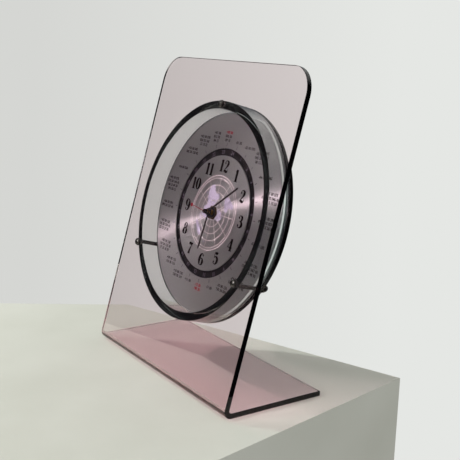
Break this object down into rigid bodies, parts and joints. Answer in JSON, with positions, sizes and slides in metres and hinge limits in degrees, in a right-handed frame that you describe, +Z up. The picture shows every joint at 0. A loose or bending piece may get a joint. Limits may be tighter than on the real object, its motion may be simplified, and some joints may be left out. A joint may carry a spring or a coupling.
{
  "type": "world clock",
  "caption": "Desk world clock: a leaning tinted acrylic sheet bent into a foot carries a clear drum with a brushed dial, a turning 24-hour ring and hands.",
  "frame": {"origin": "middle of the footprint, on the surface that the foot rests on", "axes": "+Z up, +Y towards the back, +X to the right as seen from the front; the dial faces -Y and leans back 15.3 degrees"},
  "size_m": [0.19, 0.0834, 0.2368],
  "materials": {
    "rose_acrylic": "clear rose tint, flame-polished edges",
    "clear_acrylic": "clear, polished",
    "brushed_aluminium": "circular brushed",
    "screw_steel": "turned",
    "nylon": "black nylon",
    "brass": "stamped",
    "black_enamel": "satin black with pale digits",
    "black_hands": "black lacquer",
    "red_lacquer": "red lacquer",
    "white_acetal": "moulded",
    "magnet": "sintered",
    "motor_steel": "stamped",
    "copper_wire": "enamelled copper wire",
    "pale_plastic": "moulded",
    "board_green": "coated laminate",
    "nickel": "nickel plated",
    "case_black": "fine spark texture",
    "black_rubber": "matt",
    "battery_jacket": "plain printed sleeve"
  },
  "bodies": {
    "clock_body": {"stand": "rose_acrylic", "drum_ring": "clear_acrylic", "drum_seal": "black_rubber", "back_disc": "clear_acrylic", "clamp_screws": "screw_steel", "front_washers": "nylon", "rear_washers": "screw_steel", "cap_nuts": "screw_steel", "outer_dial": "brushed_aluminium", "dial_feet": "screw_steel", "centre_dial": "brushed_aluminium", "ring_sleeve": "brass", "dial_nut": "brass", "stator": "motor_steel", "coil_core": "motor_steel", "coil_winding": "copper_wire", "train_bridge": "pale_plastic", "bridge_screws": "screw_steel", "circuit_board": "board_green", "chip": "case_black", "crystal": "nickel", "movement_case": "case_black", "rubber_washer": "black_rubber", "movement_cover": "case_black", "battery": "battery_jacket", "positive_contact": "nickel", "negative_contact": "nickel"},
    "minute": {"minute_pipe": "screw_steel", "minute_hand": "black_hands"},
    "hour": {"hour_wheel": "white_acetal", "hour_hand": "black_hands"},
    "day": {"day_ring": "black_enamel", "day_wheel": "brass"},
    "setting": {"setting_wheel": "white_acetal", "day_pinion": "screw_steel", "setting_knob": "case_black"},
    "seconds": {"seconds_wheel": "white_acetal", "second_hand": "red_lacquer"},
    "third": {"third_wheel": "white_acetal"},
    "centre": {"centre_wheel": "brass"},
    "step": {"step_wheel": "white_acetal"},
    "rotor_group": {"rotor": "magnet"}
  },
  "joints": [
    {"name": "minute_turn", "type": "hinge", "parent": "clock_body", "child": "minute", "pos_m": [0, 0.00835, 0.12161], "axis": [0, 0.9646, -0.2639], "continuous": true},
    {"name": "hour_turn", "type": "hinge", "parent": "clock_body", "child": "hour", "pos_m": [0, 0.00835, 0.12161], "axis": [0, 0.9646, -0.2639], "continuous": true},
    {"name": "day_turn", "type": "hinge", "parent": "clock_body", "child": "day", "pos_m": [0, 0.00835, 0.12161], "axis": [0, 0.9646, -0.2639], "continuous": true},
    {"name": "setting_turn", "type": "hinge", "parent": "clock_body", "child": "setting", "pos_m": [0, 0.01178, 0.13415], "axis": [0, 0.9646, -0.2639], "continuous": true},
    {"name": "seconds_turn", "type": "hinge", "parent": "clock_body", "child": "seconds", "pos_m": [0, 0.00835, 0.12161], "axis": [0, 0.9646, -0.2639], "continuous": true},
    {"name": "third_turn", "type": "hinge", "parent": "clock_body", "child": "third", "pos_m": [-0.01128, 0.02101, 0.1224], "axis": [0, 0.9646, -0.2639], "continuous": true},
    {"name": "centre_turn", "type": "hinge", "parent": "clock_body", "child": "centre", "pos_m": [0, 0.01992, 0.11844], "axis": [0, 0.9646, -0.2639], "continuous": true},
    {"name": "step_turn", "type": "hinge", "parent": "clock_body", "child": "step", "pos_m": [0.01128, 0.02294, 0.12187], "axis": [0, 0.9646, -0.2639], "continuous": true},
    {"name": "rotor_turn", "type": "hinge", "parent": "clock_body", "child": "rotor_group", "pos_m": [0.01128, 0.02841, 0.13053], "axis": [0, 0.9646, -0.2639], "continuous": true}
  ],
  "couplings": [
    {"joint": "hour_turn", "follows": "minute_turn", "ratio": 0.083333},
    {"joint": "day_turn", "follows": "minute_turn", "ratio": 0.041667},
    {"joint": "setting_turn", "follows": "minute_turn", "ratio": -0.33333},
    {"joint": "third_turn", "follows": "seconds_turn", "ratio": -0.13333},
    {"joint": "centre_turn", "follows": "seconds_turn", "ratio": 0.016667},
    {"joint": "step_turn", "follows": "seconds_turn", "ratio": -5},
    {"joint": "rotor_turn", "follows": "seconds_turn", "ratio": 30}
  ]
}
